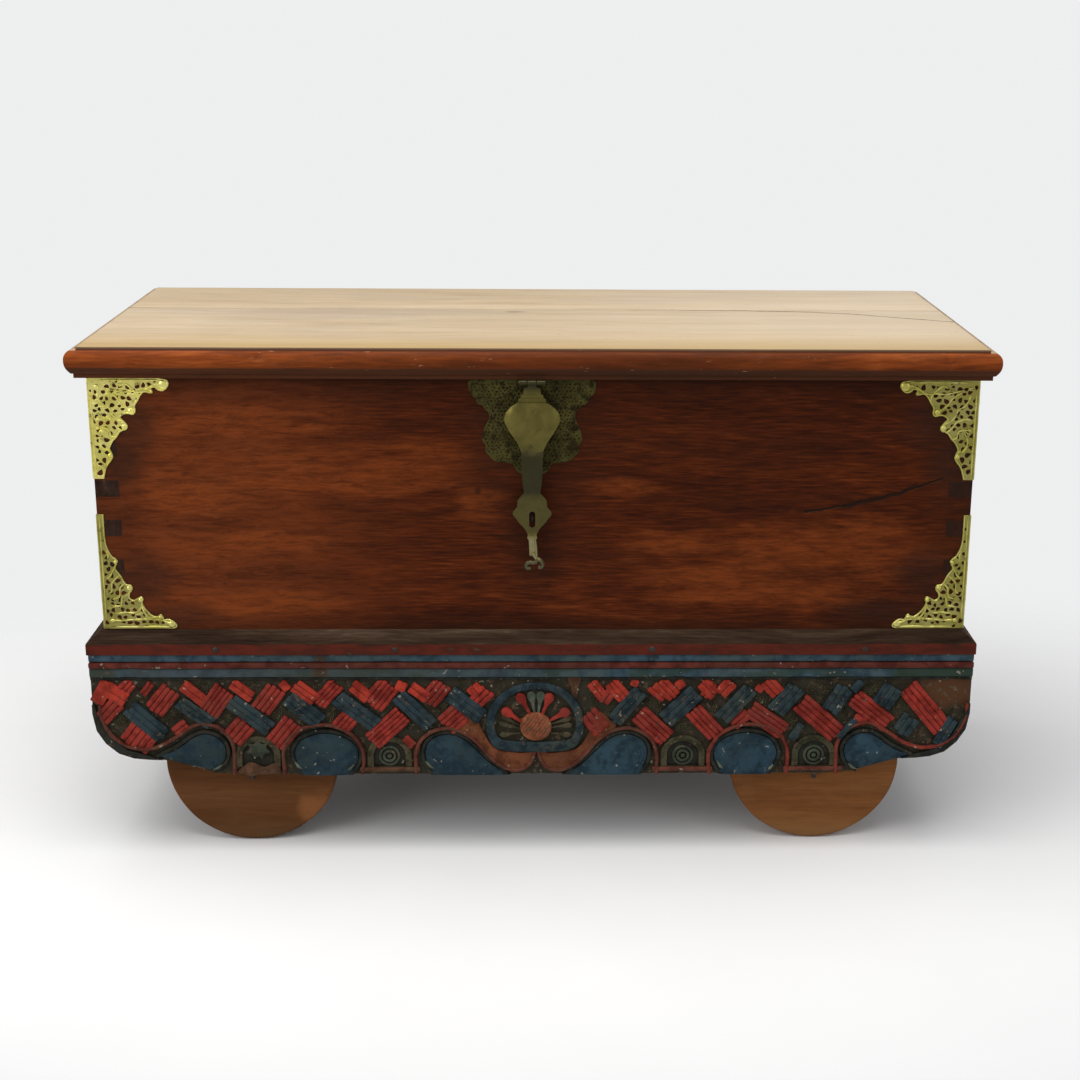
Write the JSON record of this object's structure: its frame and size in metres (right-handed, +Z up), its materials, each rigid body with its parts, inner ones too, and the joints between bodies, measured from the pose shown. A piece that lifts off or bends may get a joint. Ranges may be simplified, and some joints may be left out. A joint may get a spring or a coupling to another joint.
{
  "type": "wheeled dowry chest",
  "caption": "Low hardwood dowry chest on wooden wheels with a hinged moulded lid, hasp and staple, brass corner mounts, end handles and a carved painted apron.",
  "frame": {"origin": "on the floor under the middle of the chest's overall box", "axes": "+X along the length to the right seen from the front, -Y out of the front, +Z up"},
  "size_m": [1.3002, 0.5715, 0.763],
  "materials": {
    "teak": "oiled, worn",
    "lid_wood": "sun-bleached",
    "moulding_wood": "waxed",
    "ledge_wood": "weathered",
    "painted_wood": "old carved paint",
    "frame_wood": "rough",
    "wheel_wood": "worn",
    "mount_brass": "aged",
    "hasp_brass": "aged",
    "iron": "forged"
  },
  "bodies": {
    "chest": {"front_board": "teak", "back_board": "teak", "end_board_left": "teak", "end_board_right": "teak", "floor_board_1": "frame_wood", "floor_board_2": "frame_wood", "floor_board_3": "frame_wood", "apron_front": "painted_wood", "apron_rear": "frame_wood", "apron_left": "painted_wood", "apron_right": "painted_wood", "cornice_front": "ledge_wood", "cornice_left": "ledge_wood", "cornice_right": "ledge_wood", "cornice_nails": "iron", "corner_blocks": "frame_wood", "axle_left": "frame_wood", "axle_right": "frame_wood", "axle_bearers_left": "frame_wood", "axle_bearers_right": "frame_wood", "linchpins": "iron", "hinge_plate_left": "iron", "hinge_plate_right": "iron", "hinge_pin_left": "iron", "hinge_pin_right": "iron", "hinge_plate_nails": "iron", "lock_plate": "hasp_brass", "lock_plate_nails": "hasp_brass", "staple": "iron", "corner_mount_upper_left": "mount_brass", "corner_mount_upper_right": "mount_brass", "corner_mount_lower_left": "mount_brass", "corner_mount_lower_right": "mount_brass", "corner_mount_nails": "mount_brass", "handle_eyes_left": "mount_brass", "handle_eyes_right": "mount_brass"},
    "lid": {"lid_plank_front": "lid_wood", "lid_plank_rear": "lid_wood", "lid_moulding_front": "moulding_wood", "lid_moulding_left": "moulding_wood", "lid_moulding_right": "moulding_wood", "lid_batten_left": "frame_wood", "lid_batten_right": "frame_wood", "lid_batten_nails": "iron", "hinge_strap_left": "iron", "hinge_strap_right": "iron", "hinge_strap_nails": "iron", "hasp_leaf": "hasp_brass", "hasp_leaf_nails": "hasp_brass", "hasp_pin": "hasp_brass"},
    "hasp": {"hasp": "hasp_brass"},
    "handle_left": {"handle_left": "mount_brass"},
    "handle_right": {"handle_right": "mount_brass"},
    "wheel_front_left": {"wheel_front_left": "wheel_wood"},
    "wheel_front_right": {"wheel_front_right": "wheel_wood"},
    "wheel_rear_left": {"wheel_rear_left": "wheel_wood"},
    "wheel_rear_right": {"wheel_rear_right": "wheel_wood"}
  },
  "joints": [
    {"name": "lid_hinge", "type": "hinge", "parent": "chest", "child": "lid", "pos_m": [0, 0.26475, 0.7268], "axis": [-1, 0, 0], "range_deg": [0, 108]},
    {"name": "hasp_hinge", "type": "hinge", "parent": "lid", "child": "hasp", "pos_m": [-0.006, -0.27625, 0.717], "axis": [-1, 0, 0], "range_deg": [-3.5, 135]},
    {"name": "handle_left_hinge", "type": "hinge", "parent": "chest", "child": "handle_left", "pos_m": [-0.638, 0.00325, 0.563], "axis": [0, 1, 0], "range_deg": [0, 165]},
    {"name": "handle_right_hinge", "type": "hinge", "parent": "chest", "child": "handle_right", "pos_m": [0.638, 0.00325, 0.563], "axis": [0, -1, 0], "range_deg": [0, 165]},
    {"name": "wheel_front_left_spin", "type": "hinge", "parent": "chest", "child": "wheel_front_left", "pos_m": [-0.4265, -0.20825, 0.1285], "axis": [0, 1, 0], "continuous": true},
    {"name": "wheel_front_right_spin", "type": "hinge", "parent": "chest", "child": "wheel_front_right", "pos_m": [0.4195, -0.20825, 0.1285], "axis": [0, 1, 0], "continuous": true},
    {"name": "wheel_rear_left_spin", "type": "hinge", "parent": "chest", "child": "wheel_rear_left", "pos_m": [-0.4265, 0.19475, 0.1285], "axis": [0, 1, 0], "continuous": true},
    {"name": "wheel_rear_right_spin", "type": "hinge", "parent": "chest", "child": "wheel_rear_right", "pos_m": [0.4195, 0.19475, 0.1285], "axis": [0, 1, 0], "continuous": true}
  ]
}
